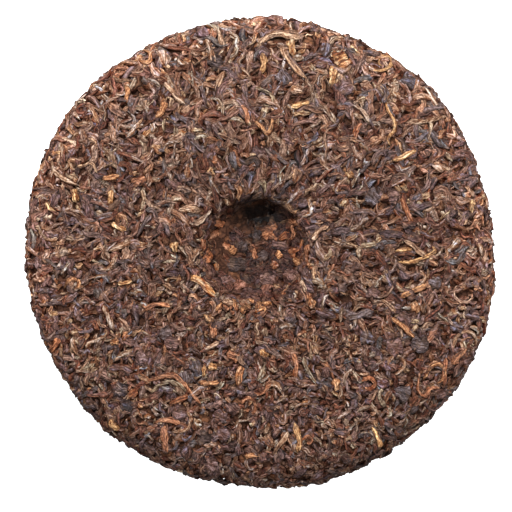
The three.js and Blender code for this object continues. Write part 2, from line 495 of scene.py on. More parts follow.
leafKinds = {
    "underLeaves": {
        "length": (7, 15), "width": (2.2, 3.8), "thick": (1.1, 1.8), "bend": 0.8,
        "sides": 5, "rings": 5, "ribHeight": 0.0, "inDimple": 1.0,
        "colours": [(60, 35, 23), (70, 41, 28), (80, 50, 34), (54, 31, 22)],
        "look": {"shine": 0.05, "roughness": 0.65}, "slot": "dark_leaf",
    },
    "blackTwists": {
        "share": 0.17, "length": (6, 15), "width": (1.3, 2.5), "thick": (1.1, 1.7), "bend": 1.0,
        "upper": -0.3,
        "colours": [(80, 44, 29), (62, 46, 42), (88, 51, 34), (66, 34, 22)],
        "look": {"shine": 0.2, "roughness": 0.45, "ridgeHighlight": (1.64, 1.6, 1.62)}, "slot": "dark_leaf",
    },
    "plumTwists": {
        "share": 0.14, "length": (6, 15), "width": (1.4, 2.7), "thick": (1.0, 1.6), "bend": 1.0,
        "colours": [(86, 64, 61), (72, 58, 58), (96, 70, 62), (74, 65, 64)],
        "look": {"shine": 0.3, "roughness": 0.46, "ridgeHighlight": (1.68, 1.62, 1.62)}, "slot": "dark_leaf",
    },
    "umberTwists": {
        "share": 0.19, "length": (6, 15), "width": (1.3, 2.4), "thick": (1.0, 1.6), "bend": 1.1,
        "colours": [(104, 73, 58), (94, 65, 52), (116, 82, 65), (100, 63, 47)],
        "look": {"shine": 0.16, "roughness": 0.55}, "slot": "dark_leaf",
    },
    "russetTwists": {
        "share": 0.12, "length": (5, 13), "width": (1.2, 2.2), "thick": (0.9, 1.5), "bend": 1.1,
        "colours": [(130, 93, 70), (118, 81, 60), (138, 102, 78), (128, 82, 58)],
        "look": {"shine": 0.16, "roughness": 0.6}, "slot": "brown_leaf",
    },
    "tanTwists": {
        "share": 0.13, "length": (4.5, 13), "width": (1.4, 2.5), "thick": (0.9, 1.5), "bend": 1.3,
        "upper": 0.2,
        "colours": [(150, 119, 94), (138, 107, 84), (160, 132, 106), (132, 103, 82)],
        "look": {"shine": 0.2, "roughness": 0.62}, "slot": "tan_leaf",
    },
    "goldBuds": {
        "share": 0.065, "length": (3.5, 8), "width": (1.7, 3.0), "thick": (1.1, 1.7), "bend": 0.8,
        "blunt": (2.0, 3.0), "upper": -0.3, "inDimple": 0.8,
        "colours": [(164, 123, 88), (152, 108, 76), (170, 136, 104), (146, 97, 66)],
        "look": {"shine": 0.16, "roughness": 0.66}, "slot": "tan_leaf",
    },
    "leafFlakes": {
        "share": 0.115, "length": (5, 11), "width": (2.8, 5.2), "thick": (0.7, 1.1), "bend": 0.6,
        "sides": 10, "rings": 7, "crumple": 0.2, "ribs": (2.4, 3.8), "ribHeight": 0.26,
        "upper": -1.1, "inDimple": 4.0,
        "colours": [(80, 55, 49), (66, 46, 43), (90, 62, 52), (76, 47, 37)],
        "look": {"shine": 0.22, "roughness": 0.48, "ridgeHighlight": (1.66, 1.62, 1.68), "veinAcross": 1.7},
        "slot": "dark_leaf",
    },
    "fibreBundles": {
        "share": 0.065, "length": (8, 15), "width": (2.2, 3.8), "thick": (1.1, 1.6), "bend": 0.9,
        "sides": 10, "lobeDepth": 0.05, "ribs": (2.6, 3.6), "ribHeight": 0.2, "upper": 0.35,
        "colours": [(134, 98, 76), (150, 114, 90), (112, 78, 60), (142, 98, 72)],
        "look": {"shine": 0.2, "roughness": 0.6}, "slot": "brown_leaf",
    },
    "curledStems": {
        "share": 0.013, "length": (14, 26), "width": (1.1, 1.7), "thick": (1.0, 1.3), "bend": 4.4,
        "curl": (0.4, 1.2),
        "sides": 6, "rings": 20, "ribHeight": 0.0, "flatness": 0.9, "inDimple": 0.0,
        "colours": [(152, 120, 100), (138, 105, 86), (160, 131, 110), (128, 96, 78)],
        "look": {"shine": 0.2, "roughness": 0.62}, "slot": "tan_leaf",
    },
    "crumbs": {
        "share": 0.12, "length": (1.8, 4.2), "width": (1.2, 2.4), "thick": (0.9, 1.4), "bend": 0.6,
        "sides": 6, "rings": 4, "ribHeight": 0.0, "crumple": 0.2, "upper": -0.6, "inDimple": 0.6,
        "colours": [(84, 55, 43), (112, 76, 56), (142, 99, 73), (64, 43, 36)],
        "look": {"shine": 0.22, "roughness": 0.56}, "slot": "brown_leaf",
    },
    "fineFibres": {
        "share": 0.08, "length": (4, 10), "width": (0.55, 0.95), "thick": (0.5, 0.75), "bend": 1.6,
        "sides": 4, "rings": 7, "ribHeight": 0.0, "lobeDepth": 0.0, "flatness": 1.0,
        "colours": [(144, 110, 90), (128, 90, 70), (160, 128, 106), (100, 68, 52)],
        "look": {"shine": 0.2, "roughness": 0.6}, "slot": "tan_leaf",
    },
}

lookDefaults = {
    "veinAlong": 0.16,
    "veinAcross": 1.2,
    "veinDetail": 4.0,
    "veinRoughness": 0.66,
    "veinDistortion": 0.5,
    "veinShare": 0.62,  # of the texture; the rest is grain
    "textureRange": (0.425, 0.575),
    "grainScale": 1150.0,
    # painted shade in a leaf's grooves, and painted highlight on its ridges
    "coolCreaseShade": (0.25, 0.2, 0.175),
    "warmCreaseShade": (0.4, 0.2, 0.09),
    "ridgeHighlight": (1.6, 1.68, 1.84),
    "foldSpacing": 1.0,
    "foldWander": 8.0,
    "foldDepth": 0.75,
    "foldRange": (0.0, 0.5),
    "foldBump": 0.5,
    "wanderScale": 400.0,
    "stainScale": 330.0,
    "stainRange": (0.38, 0.62),
    "coolTint": (0.985, 0.995, 1.01),
    "warmTint": (1.01, 1.01, 0.95),
    "patchScale": 420.0,
    "dustRange": (0.52, 0.72),
    "dust": 0.3,
    "dustColour": tuple(fromScreen(130, 98, 76)),
    "roughnessSpread": 0.35,
    "bump": 1.0,
    "bumpDepth": 0.0009,
}


def fullKind(name):
    return {**leafDefaults, **leafKinds[name]}


# how the leaves are heaped, from the cake's surface and along it in millimetres

heap = {
    "back": {"under": 1100, "over": 7000, "top": (-0.5, 0.3)},
    "front": {"under": 900, "over": 1650, "top": (-0.6, 0.0)},
    "seenTop": 1.0,
    "underLayers": 3,
    "overLayers": 6,
    "layerTurn": 1.7,  # of each layer's spiral
    "overTurn": 0.9,
    "spotSpread": 0.4,
    "pastRim": 2.0,  # how far a side goes on round the rim
    "cell": 0.5,  # of the grid that holds how high the heap has grown
    "half": 130.0,  # how far that grid reaches from the middle
    "floor": -1.5,  # height of the bare core
    "thinned": 0.4,  # share of the leaves left out where they are largest
    "thinReach": (-60, 85),
    "dimpleFloor": (21.0, 30.0),  # along the surface from the dimple's middle
    "dimpleBare": 0.1,  # share of the leaves left out on its floor
    "upperReach": (-20, 80),
    "frontCoarseness": 1.25,
    "backCoarseness": 0.72,
    "coarser": 0.48,  # added in the dimple and towards +Y
    "coarserReach": (-70, 85),
    "rimBand": (97.0, 109.0),
    "alongRim": 0.8,  # share of the leaves there that lie along the rim
    "alongRimLess": 0.5,
    "alongRimReach": (-40, 60),
    "alongRimSpread": 0.45,
    "lengthPower": 1.4,  # more leaves are short than long
    "widthHeld": 0.45,  # share of a leaf's width that coarseness leaves alone
    "bendSpread": 0.6,
    "strongBend": 2.6,
    "strongBendShare": 0.16,
}

tints = {
    "middleColour": (102, 78, 68),
    "contrast": (0.58, 0.72),  # of a leaf's brightness with the middle one's, towards -Y and towards +Y
    "contrastReach": (-70, 60),
    "seenContrast": 0.8,
    "faded": 0.04,
    "brightSpread": 0.1,
    "warmth": (0.026, -0.005, -0.05),  # how single leaves differ in hue
    "hueSpread": 0.02,
    "shadeTint": (0.84, 1.26, 1.62),  # powers that redden a colour where painted shade darkens it
    "shadeSpread": (-0.1, 0.06, 0.32),  # how single leaves differ in that
    # partly the pressed leaves' own redder colour, partly painted shade of the dimple's recess
    "dimpleTintAndShade": (0.53, 0.37, 0.3),
    "wallTintAndShade": (0.92, 0.79, 0.7),
    "wallReach": (12.0, 22.0),
    "innerShade": 0.13,  # how much darker the leaves are near the dimple
    "innerReach": (28.0, 80.0),
    "rimPaintedLight": (0.57, 1.66),  # painted shade towards -Y, and painted light elsewhere
    "rimPaintedLightReach": (-0.95, 0.0),
    "rimReach": (82.0, 106.0),
}

unevenCount = 12
unevenWaves = {
    "directions": rng.normal(0, 1, (unevenCount, 3)),
    "lengths": between((7, 20), unevenCount),
    "starts": between((0, fullTurn), unevenCount),
    "height": 0.13,
}


def unevenness(place):
    along = unit(unevenWaves["directions"]) / unevenWaves["lengths"][:, None]
    return unevenWaves["height"] * np.sin(fullTurn * place @ along.T + unevenWaves["starts"]).sum(-1)


class Ground:
    # how high the heap has grown over one unrolled side
    def __init__(self):
        count = int(2 * heap["half"] / heap["cell"])
        self.height = np.full((count, count), heap["floor"])

    def cells(self, flat):
        spots = np.clip(((flat + heap["half"]) / heap["cell"]).astype(int), 0, len(self.height) - 1)
        return spots[..., 1], spots[..., 0]

    def read(self, flat):
        return self.height[self.cells(flat)]

    def raiseTo(self, flat, height):
        np.maximum.at(self.height, self.cells(flat), height)


def spiralSpots(count, reach, turn):
    # evenly spread spots, along a sunflower's spiral
    index = np.arange(count) + 0.5
    away = reach * np.sqrt(index / count)
    spots = flatSpots(away, index * math.pi * (3 - math.sqrt(5)) + turn)
    return spots + rng.normal(0, heap["spotSpread"] * reach / math.sqrt(count), spots.shape)


def inDimple(spots):
    return 1 - smoothStep(flatLength(spots), *heap["dimpleFloor"])


def coarseness(spots, isBack):
    # leaves are larger in the dimple and towards +Y on the back, and all over the front
    if not isBack:
        return np.full(len(spots), heap["frontCoarseness"])
    upper = smoothStep(spots[:, 1], *heap["coarserReach"])
    return heap["backCoarseness"] + heap["coarser"] * np.maximum(upper, inDimple(spots))


def leafHeadings(spots):
    # at random, but near the rim mostly along it
    count = len(spots)
    anyWay = between((0, fullTurn), count)
    along = np.arctan2(spots[:, 1], spots[:, 0]) + np.pi / 2 + rng.normal(0, heap["alongRimSpread"], count)
    share = heap["alongRim"] - heap["alongRimLess"] * smoothStep(spots[:, 1], *heap["alongRimReach"])
    nearRim = smoothStep(flatLength(spots), *heap["rimBand"]) * share
    return np.where(rng.random(count) < nearRim, along, anyWay)


def leafSizes(kind, spots, isBack):
    # one row of sizes for each leaf
    count = len(spots)
    grow = coarseness(spots, isBack)
    held = heap["widthHeld"]
    return {
        "spot": spots,
        "heading": leafHeadings(spots),
        "length": mixed(kind["length"], rng.random(count) ** heap["lengthPower"]) * grow,
        "width": between(kind["width"], count) * (held + (1 - held) * grow),
        "thick": between(kind["thick"], count),
        "bend": leafBends(kind, count),
        "wave": rng.normal(0, kind["wave"], count),
        "roll": rng.normal(0, kind["roll"], count),
        "rollTurn": rng.normal(0, kind["roll"], count),
        "blunt": between(kind["blunt"], count),
        "lean": between(kind["lean"], count),
        "proud": rng.normal(0, kind["proud"], count),
        "pitch": rng.normal(0, kind["pitch"], count),
        "twist": rng.normal(0, kind["twist"], count),
        "ribs": between(kind["ribs"], count),
        "phase": between((0, fullTurn), count),
        "shade": rng.normal(0, 1, count),
        "colours": leafColours(kind, spots, isBack),
    }


def leafBends(kind, count):
    if "curl" in kind:
        return rng.choice([-1, 1], count) * kind["bend"] * between(kind["curl"], count)
    strong = heap["strongBendShare"]
    curl = rng.choice([1.0, heap["strongBend"]], count, p=[1 - strong, strong])
    return rng.normal(0, heap["bendSpread"], count) * kind["bend"] * curl


def evened(colours, contrast):
    # draws a colour's brightness towards the middle one, and greys it a little
    grey = colours.mean(-1, keepdims=True)
    light = grey / fromScreen(*tints["middleColour"]).mean()
    return (colours + (grey - colours) * tints["faded"]) * light ** (contrast - 1)


def rimPaintedLightAndShade(spots):
    # darker near the dimple, painted shade at the -Y rim, and painted light on the rest of the rim
    away = flatLength(spots)
    rim = mixed(tints["rimPaintedLight"], smoothStep(spots[:, 1] / away, *tints["rimPaintedLightReach"]))
    inner = 1 - tints["innerShade"] * (1 - smoothStep(away, *tints["innerReach"]))
    return inner * (1 + (rim - 1) * smoothStep(away, *tints["rimReach"]))


def dimpleShade(spots):
    # darker and redder in the dimple: partly the pressed leaves' own colour, partly painted shade of the
    # recess
    onWall = smoothStep(flatLength(spots), *tints["wallReach"])[:, None]
    tint = np.array(tints["dimpleTintAndShade"]) * (1 - onWall) + np.array(tints["wallTintAndShade"]) * onWall
    return 1 + (tint - 1) * inDimple(spots)[:, None]


def leafColours(kind, spots, isBack):
    # each leaf fades between two colours along its length
    count = len(spots)
    palette = np.array([fromScreen(*c) for c in kind["colours"]])
    contrast = np.full(count, tints["contrast"][1])
    if isBack:
        contrast = mixed(tints["contrast"], smoothStep(spots[:, 1], *tints["contrastReach"]))
    pair = evened(palette[rng.integers(0, len(palette), (count, 2))], contrast[:, None, None])
    bright = np.exp(rng.normal(0, tints["brightSpread"], (count, 2, 1)))
    warmth = rng.normal(0, 1, (count, 1, 1)) * tints["warmth"]
    hue = np.exp(warmth + rng.normal(0, tints["hueSpread"], (count, 1, 3)))
    if not isBack:
        return pair * bright * hue
    return pair * (bright * rimPaintedLightAndShade(spots)[:, None, None]) * hue * dimpleShade(spots)[:, None]


def leafPaths(kind, leaves):
    # each leaf's middle line on the unrolled side, bent one way and waved
    rings = kind["rings"]
    t = np.linspace(-0.5, 0.5, rings)[None]
    turn = leaves["heading"][:, None] + leaves["bend"][:, None] * t
    waved = np.sin(fullTurn * kind["waves"] * t + leaves["phase"][:, None])
    turn = turn + leaves["wave"][:, None] * waved
    middle = (turn[:, 1:] + turn[:, :-1]) / 2
    step = (leaves["length"] / (rings - 1))[:, None, None]
    walked = np.cumsum(step * np.stack([np.cos(middle), np.sin(middle)], -1), axis=1)
    flat = np.concatenate([np.zeros((len(turn), 1, 2)), walked], 1)
    return flat - flat.mean(1, keepdims=True) + leaves["spot"][:, None]


# how single leaves are shaped and pressed: heights in millimetres, the rest as shares
pressing = {
    "waver": 0.14,  # how much, how fast and from where a leaf's width wavers
    "waverFast": 5,
    "waverStart": 3,
    "narrowest": 0.14,
    "endThick": 0.3,
    "readAside": (-0.5, 0.5),
    "smoothings": 2,
    "follow": 0.6,  # how closely a leaf follows what lies below it
    "lift": 0.35,
    "pastTop": 0.12,
    "endDrop": 0.6,
    "slack": 0.2,
    "squash": 0.6,
    "table": 0.12,  # height under which the front's points are drawn towards the table
    "tableFade": 0.4,
    "crowding": 0.55,  # of a ring's points towards its upper side
    "ribTwist": 0.6,
    # painted shade on each leaf: darker on its underside and edges, lighter on its crests and darker in its
    # creases
    "undersideShade": 0.15,
    "undersideShadeReach": (0.15, 0.9),
    "creaseShadeStrength": 2.0,
    "shadeLimits": (0.35, 1.8),
    "fadeFast": 2.2,
    "fadeReach": (-0.6, 0.6),
    "stampAside": (-0.8, -0.4, 0, 0.4, 0.8),
    "crownFall": 0.5,
    # on the dimple's floor leaves are thinner, flatter, lower and more even, with weaker painted shade
    "calmThick": 0.65,
    "calmTop": 0.6,
    "calmLower": 0.15,
    "calmRoll": 0.7,
    "calmShade": (0.8, 0.3),
}


def leafTaper(size, t):
    # how wide leaves are along their length
    taper = np.sqrt(np.maximum(1 - np.abs(t) ** size["blunt"], 0)) * (1 + size["lean"] * t)
    waver = np.sin(pressing["waverFast"] * t + pressing["waverStart"] * size["phase"])
    return np.maximum(taper * (1 + pressing["waver"] * waver), pressing["narrowest"])


def restHeights(size, t, flat, halfSide, ground, pressed):
    # middle lines bend over what lies there, and are held down by the top
    under = ground.read(flat)
    for part in pressing["readAside"]:
        under = np.maximum(under, ground.read(flat + part * halfSide))
    for _ in range(pressing["smoothings"]):
        padded = np.pad(under, ((0, 0), (1, 1)), mode="edge")
        under = (padded[:, :-2] + 2 * padded[:, 1:-1] + padded[:, 2:]) / 4
    follow = pressing["follow"]
    height = follow * under + (1 - follow) * under.mean(1, keepdims=True) + pressing["lift"] * size["thick"]
    ceiling = pressed - size["thick"] / 2
    height = np.where(height > ceiling, ceiling + pressing["pastTop"] * (height - ceiling), height)
    return height - pressing["endDrop"] * size["thick"] * np.abs(t) ** 3 - size["pitch"] * t


def pressFlat(points, place, normal, pressed, isBack):
    # what stands too proud is pressed in, and nothing goes through the table
    rise = ((points - place[:, :, None]) * normal[:, :, None]).sum(-1)
    over = rise - pressed[..., None] - pressing["slack"]
    points = points - normal[:, :, None] * np.where(over > 0, pressing["squash"] * over, 0)[..., None]
    if not isBack:
        z, table = points[..., 2], pressing["table"]
        points[..., 2] = np.where(z < table, table * np.exp((z - table) / pressing["tableFade"]), z)
    return points


def pointColours(leaves, phase, t, tone, points, isBack):
    # a leaf fades from one colour to the other; painted shade darkens and reddens it where its tone is low,
    # and painted shadow darkens it under the dimple's steep side
    fade = smoothStep(np.sin(pressing["fadeFast"] * t + phase), *pressing["fadeReach"])[..., None]
    colours = leaves["colours"][:, :1] * (1 - fade) + leaves["colours"][:, 1:] * fade
    power = np.array(tints["shadeTint"]) + leaves["shade"][:, None] * tints["shadeSpread"]
    colours = colours[:, :, None] * tone[..., None] ** power[:, None, None]
    # painted shadow under the dimple's steep side
    if isBack:
        colours = colours * (1 - dimpleShadow["depth"] * inDimpleShadow(points))[..., None]
    return colours


def layLeaves(kind, leaves, flat, isBack, ground, top):
    # leaves along middle lines on an unrolled side, laid on what is there and pressed down to the top
    t = np.linspace(-1, 1, kind["rings"])[None]
    size = {k: v[:, None] for k, v in leaves.items() if k not in ("spot", "colours")}
    ahead = unit(np.gradient(flat, axis=1))
    aside = np.stack([-ahead[..., 1], ahead[..., 0]], -1)
    calm = inDimple(flat) if isBack else np.zeros(flat.shape[:2])
    taper = leafTaper(size, t)
    halfWide = size["width"] / 2 * taper
    endThick = pressing["endThick"]
    halfThick = size["thick"] / 2 * (endThick + (1 - endThick) * taper) * (1 - pressing["calmThick"] * calm)

    place = onSurface(flat, isBack)
    normal = surfaceNormal(flat, isBack)
    loose = (unevenness(place) + size["proud"]) * (1 - pressing["calmTop"] * calm)
    pressed = top + loose - pressing["calmLower"] * calm
    height = restHeights(size, t, flat, aside * halfWide[..., None], ground, pressed)

    centre = place + normal * height[..., None]
    along = unit(np.gradient(centre, axis=1))
    across = unit(np.cross(normal, along))
    upward = np.cross(along, across)
    roll = ((size["roll"] + size["rollTurn"] * t) * (1 - pressing["calmRoll"] * calm))[..., None]
    tilted = across * np.cos(roll) + upward * np.sin(roll)
    raised = upward * np.cos(roll) - across * np.sin(roll)

    side, lift, tone = leafSection(kind, size, t, len(flat))
    calmShadeLevel, evening = pressing["calmShade"]
    tone = tone + (calmShadeLevel - tone) * evening * calm[..., None]
    points = centre[:, :, None] + tilted[:, :, None] * (halfWide[..., None] * side)[..., None]
    lifted = halfThick[..., None] * lift[0] + lift[1] * taper[..., None]
    points = points + raised[:, :, None] * lifted[..., None]
    points = pressFlat(points, place, normal, pressed, isBack)
    stampLeaves(ground, flat, aside, halfWide, height + halfThick)
    colours = pointColours(leaves, size["phase"], t, tone, points, isBack)
    return {"points": points, "colours": colours, "length": leaves["length"], "width": leaves["width"]}


def signedPower(value, power):
    return np.sign(value) * np.abs(value) ** power


def leafSection(kind, size, t, count):
    # a ring's points: how far aside, how high, and how dark the painted shade makes the colour there: darker
    # on the underside and edges, lighter on crests, darker in creases
    sides = kind["sides"]
    base = fullTurn * np.arange(sides) / sides
    around = (-np.pi / 2 + base + pressing["crowding"] * np.sin(base))[None, None]
    twist = (size["twist"] * t + size["phase"])[..., None]
    lobes = kind["lobeDepth"] * np.cos(kind["lobes"] * around + twist)
    swell = 1 + lobes + rng.normal(0, kind["crumple"], (count, t.shape[1], sides))
    furrows = size["ribs"][..., None] * np.pi * np.cos(around) + pressing["ribTwist"] * twist
    ribs = kind["ribHeight"] * np.cos(furrows)
    low, relief = pressing["undersideShade"], pressing["creaseShadeStrength"]
    tone = low + (1 - low) * smoothStep(np.sin(around), *pressing["undersideShadeReach"])
    tone = tone * np.clip(1 + relief * (swell - 1) + relief * ribs, *pressing["shadeLimits"])
    side = signedPower(np.cos(around), kind["flatness"])
    lift = signedPower(np.sin(around), kind["flatness"])
    return side * swell, (lift * swell, ribs), tone


def stampLeaves(ground, flat, aside, halfWide, crown):
    # raises the heap under each leaf, at points between its rings too
    rings = flat.shape[1]
    fine = np.linspace(0, rings - 1, 2 * rings - 1)
    low = np.minimum(fine.astype(int), rings - 2)
    share = (fine - low)[None]

    def finer(values):
        part = share[..., None] if values.ndim == 3 else share
        return values[:, low] * (1 - part) + values[:, low + 1] * part

    for offset in pressing["stampAside"]:
        reach = flat + aside * (halfWide * offset)[..., None]
        ground.raiseTo(finer(reach), finer(crown) - pressing["crownFall"] * offset**2)


def addMap(mesh, name, u, v):
    layer = mesh.uv_layers.new(name=name)
    u, v = np.broadcast_arrays(u, v)
    layer.uv.foreach_set("vector", np.stack([u, v], -1).astype(np.float32).ravel())


# a leaf's cell on the baking map, with its walls in the middle and a cap at each end, as shares
baking = {
    "margin": 0.04,
    "wallStart": 0.1,
    "wallLong": 0.8,
    "capMiddle": (0.05, 0.5),
    "capReach": (0.04, 0.4),
    "capAway": 0.9,
    "cellShape": 3.5,  # how many times longer than wide it is
}

# the map that the veins follow, in millimetres: each leaf has its own stretch of it
strands = {"starts": 200, "across": 1.7, "girth": 2.2, "spiral": 0.18}


def leafFaces(rings, sides):
    # walls round one leaf, and the faces that cap its end
    ring = np.arange(rings - 1)[:, None] * sides
    side = np.arange(sides)[None]
    after = (side + 1) % sides
    walls = np.stack([ring + side, ring + after, ring + sides + after, ring + sides + side], -1)
    pairs = [[-k % sides, k + 1, k + 2, (-k - 1) % sides] for k in range((sides - 1) // 2)]
    caps = np.array([[a, b, c, d if c != d else a] for a, b, c, d in pairs])
    return walls.reshape(-1, 4), caps


def leafCell(rings, sides, caps):
    # where the corners of one leaf's faces lie in its cell
    ring = np.arange(rings - 1)[:, None] * sides
    side = np.arange(sides)[None]
    wallU = np.stack([ring, ring, ring + sides, ring + sides], -1) / sides / (rings - 1)
    wallU = baking["wallStart"] + baking["wallLong"] * np.broadcast_to(wallU, (rings - 1, sides, 4))
    wallV = np.broadcast_to(np.stack([side, side + 1, side + 1, side], -1) / sides, wallU.shape)
    angle = fullTurn * caps / sides
    capU = baking["capMiddle"][0] + baking["capReach"][0] * np.cos(angle)
    capV = baking["capMiddle"][1] + baking["capReach"][1] * np.sin(angle)
    cellU = np.concatenate([wallU.reshape(-1, 4), capU[:, ::-1], capU + baking["capAway"]])
    return cellU, np.concatenate([wallV.reshape(-1, 4), capV[:, ::-1], capV])


def leafPiece(name, kind, batches):
    # joins every leaf of a kind into one mesh, each with its own cell of the baking map
    rings, sides = kind["rings"], kind["sides"]
    points, colours, lengths, widths = (
        np.concatenate([batch[key] for batch in batches]) for key in ("points", "colours", "length", "width")
    )
    count = len(points)
    walls, caps = leafFaces(rings, sides)
    quads = np.concatenate([walls, caps[:, ::-1], caps + (rings - 1) * sides])
    quads = (quads[None] + (np.arange(count) * rings * sides)[:, None, None]).reshape(-1, 4)
    mesh = bpy.data.meshes.new(name)
    mesh.from_pydata(points.reshape(-1, 3) * mm, [], quads)

    cellU, cellV = leafCell(rings, sides, caps)
    columns = max(1, round(math.sqrt(count / baking["cellShape"])))
    rows = math.ceil(count / columns)
    index = np.arange(count)[:, None, None]
    margin = baking["margin"]
    bakeU = (index % columns + margin + (1 - 2 * margin) * cellU) / columns
    bakeV = (index // columns + margin + (1 - 2 * margin) * cellV) / rows
    addMap(mesh, "OFBake", bakeU, bakeV)

    start = rng.random((count, 1, 1)) * strands["starts"]
    reach = lengths[:, None, None]
    girth = strands["girth"] * widths[:, None, None]
    spiral = rng.normal(0, strands["spiral"], (count, 1, 1)) * reach * cellU
    addMap(mesh, "strandMap", start + reach * cellU, strands["across"] * start + girth * cellV + spiral)

    layer = mesh.attributes.new("leafColour", "FLOAT_COLOR", "POINT")
    colours = np.concatenate([colours, np.ones((*colours.shape[:-1], 1))], -1)
    layer.data.foreach_set("color", colours.astype(np.float32).ravel())
    return finishedPiece(mesh, leafFinish(name + "Finish", {**lookDefaults, **kind["look"]}))


def kindWeights(names, spots, isBack):
    # how likely each kind is at each spot
    upper = smoothStep(spots[:, 1], *heap["upperReach"]) - 0.5 if isBack else np.zeros(len(spots))
    dimple = inDimple(spots) if isBack else np.zeros(len(spots))
    kinds = [fullKind(name) for name in names]
    weights = np.array(
        [k["share"] * np.exp(k["upper"] * upper) * (1 + (k["inDimple"] - 1) * dimple) for k in kinds]
    )
    return weights / weights.sum(0)


def layKind(name, spots, isBack, ground, top):
    kind = fullKind(name)
    leaves = leafSizes(kind, spots, isBack)
    return layLeaves(kind, leaves, leafPaths(kind, leaves), isBack, ground, top)


def heapSide(batches, side, isBack):
    # one side, layer by layer: plain leaves below, every other kind over them
    reach = (rimS if isBack else sectionS[-1] - rimS) + heap["pastRim"]
    low, high = side["top"]
    ground = Ground()
    for layer in range(heap["underLayers"]):
        spots = spiralSpots(side["under"] // heap["underLayers"], reach, layer * heap["layerTurn"])
        batches["underLeaves"].append(layKind("underLeaves", spots, isBack, ground, low))
    names = [name for name in leafKinds if name != "underLeaves"]
    for layer in range(heap["overLayers"]):
        turn = layer * heap["layerTurn"] + heap["overTurn"]
        spots = spiralSpots(side["over"] // heap["overLayers"], reach, turn)
        if isBack:
            left = heap["thinned"] * smoothStep(spots[:, 1], *heap["thinReach"])
            spots = spots[rng.random(len(spots)) > left + heap["dimpleBare"] * inDimple(spots)]
        weights = np.cumsum(kindWeights(names, spots, isBack), axis=0)
        chosen = (rng.random(len(spots)) > weights).sum(0)
        top = low + (high - low) * layer / (heap["overLayers"] - 1)
        for number, name in enumerate(names):
            if (chosen == number).any():
                batches[name].append(layKind(name, spots[chosen == number], isBack, ground, top))
    return ground


# single leaves that stand out in the photo: kind, width in millimetres, shade, and pixels along it

shades = {
    "gold": (188, 138, 90),
    "pale": (172, 138, 112),
    "tan": (158, 120, 92),
    "orange": (162, 109, 70),
    "rust": (144, 92, 62),
    "ember": (138, 82, 50),
    "olive": (136, 112, 88),
    "plum": (93, 66, 59),
    "slate": (82, 67, 65),
    "black": (55, 41, 37),
    "clay": (116, 76, 60),
}

